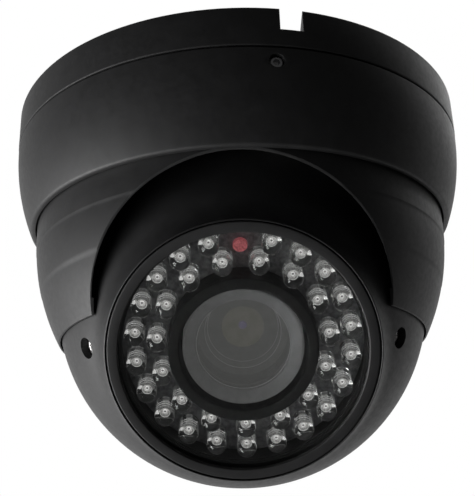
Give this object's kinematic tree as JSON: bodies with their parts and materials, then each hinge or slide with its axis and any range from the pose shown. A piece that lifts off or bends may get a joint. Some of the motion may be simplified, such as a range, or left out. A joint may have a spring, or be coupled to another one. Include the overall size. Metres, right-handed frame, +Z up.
{
  "type": "dome cctv camera",
  "caption": "Ceiling dome camera with an infrared turret that pans, tilts and rolls, and a varifocal lens behind a flat glass.",
  "frame": {"origin": "middle of the base's flat face that lies against the ceiling", "axes": "+Z up into the ceiling, -Y the way the lens looks, +X to the right seen from in front"},
  "size_m": [0.125, 0.125, 0.1003],
  "materials": {
    "black_paint": "fine satin powder coat",
    "cast_alloy": "as cast",
    "steel": "plated",
    "black_plastic": "matt",
    "rubber": "matt",
    "nylon": "natural nylon",
    "clear_glass": "polished",
    "board_green": "solder resist",
    "board_black": "solder resist",
    "coated_glass": "coated, polished",
    "chip_black": "gloss",
    "photocell_red": "tinted epoxy",
    "anodised": "black anodised"
  },
  "bodies": {
    "base": {"mounting_base": "black_paint", "cable_grommet": "rubber", "cover_seal": "rubber", "cover_ring": "black_paint", "cover_set_screw_1": "steel", "cover_set_screw_2": "steel", "cover_set_screw_3": "steel", "pan_friction_ring": "nylon"},
    "pan_unit": {"pan_shell": "black_paint", "yoke": "steel", "yoke_screw_1": "steel", "yoke_screw_2": "steel", "yoke_screw_3": "steel", "tilt_washer_left": "nylon", "tilt_washer_right": "nylon"},
    "tilt_lock_left": {"tilt_lock_screw_left": "steel"},
    "tilt_lock_right": {"tilt_lock_screw_right": "steel"},
    "turret": {"turret_front_shell": "black_paint", "turret_rear_shell": "black_paint", "bezel_ring": "black_paint", "front_glass": "clear_glass", "glass_gasket": "rubber", "turret_chassis": "cast_alloy", "turret_screw_left": "steel", "turret_screw_right": "steel", "led_board": "board_black", "photocell": "photocell_red", "lens_shroud": "rubber", "board_spacer_1": "steel", "board_spacer_2": "steel", "board_spacer_3": "steel", "board_screw_1": "steel", "board_screw_2": "steel", "board_screw_3": "steel", "carrier_retaining_ring": "black_plastic"},
    "camera_module": {"module_carrier": "black_plastic", "lens_mount": "black_plastic", "sensor_board": "board_green", "image_sensor": "chip_black", "processor_board": "board_green", "board_pillar_1": "steel", "board_pillar_2": "steel", "board_pillar_3": "steel", "board_pillar_4": "steel", "module_screw_1": "steel", "module_screw_2": "steel", "lens_barrel": "anodised", "aperture_plate": "anodised", "rear_lens": "coated_glass"},
    "zoom_control": {"zoom_ring": "anodised"},
    "zoom_lock": {"zoom_lock_screw": "steel"},
    "focus_control": {"focus_ring": "anodised"},
    "focus_lock": {"focus_lock_screw": "steel"},
    "lens_front_group": {"lens_front_barrel": "anodised", "second_lens": "coated_glass", "front_lens": "coated_glass", "lens_retaining_ring": "anodised"}
  },
  "joints": [
    {"name": "pan", "type": "hinge", "parent": "base", "child": "pan_unit", "pos_m": [0, 0, -0.025], "axis": [0, 0, 1], "range_deg": [-175, 175]},
    {"name": "tilt", "type": "hinge", "parent": "pan_unit", "child": "turret", "pos_m": [0, 0, -0.0505], "axis": [1, 0, 0], "range_deg": [-5, 50]},
    {"name": "tilt_lock_left_turn", "type": "hinge", "parent": "pan_unit", "child": "tilt_lock_left", "pos_m": [-0.0505, 0, -0.0505], "axis": [1, 0, 0], "range_deg": [-90, 0]},
    {"name": "tilt_lock_right_turn", "type": "hinge", "parent": "pan_unit", "child": "tilt_lock_right", "pos_m": [0.0505, 0, -0.0505], "axis": [1, 0, 0], "range_deg": [0, 90]},
    {"name": "roll", "type": "hinge", "parent": "turret", "child": "camera_module", "pos_m": [0, -0.01614, -0.0618], "axis": [0, -0.8192, -0.5736], "range_deg": [-90, 90]},
    {"name": "zoom", "type": "hinge", "parent": "camera_module", "child": "zoom_control", "pos_m": [0, -0.00528, -0.0542], "axis": [0, -0.8192, -0.5736], "range_deg": [-35, 35]},
    {"name": "zoom_lock_turn", "type": "hinge", "parent": "zoom_control", "child": "zoom_lock", "pos_m": [0.016, -0.00528, -0.0542], "axis": [1, 0, 0], "range_deg": [-180, 0]},
    {"name": "focus", "type": "hinge", "parent": "camera_module", "child": "focus_control", "pos_m": [0, -0.0118, -0.05876], "axis": [0, -0.8192, -0.5736], "range_deg": [-45, 45]},
    {"name": "focus_lock_turn", "type": "hinge", "parent": "focus_control", "child": "focus_lock", "pos_m": [-0.016, -0.0118, -0.05876], "axis": [1, 0, 0], "range_deg": [0, 180]},
    {"name": "zoom_travel", "type": "slide", "parent": "camera_module", "child": "lens_front_group", "axis": [0, -0.8192, -0.5736], "range_m": [-0.0011, 0.0011]}
  ],
  "couplings": [
    {"joint": "zoom_travel", "follows": "zoom", "m_per_rad": 0.001637}
  ]
}
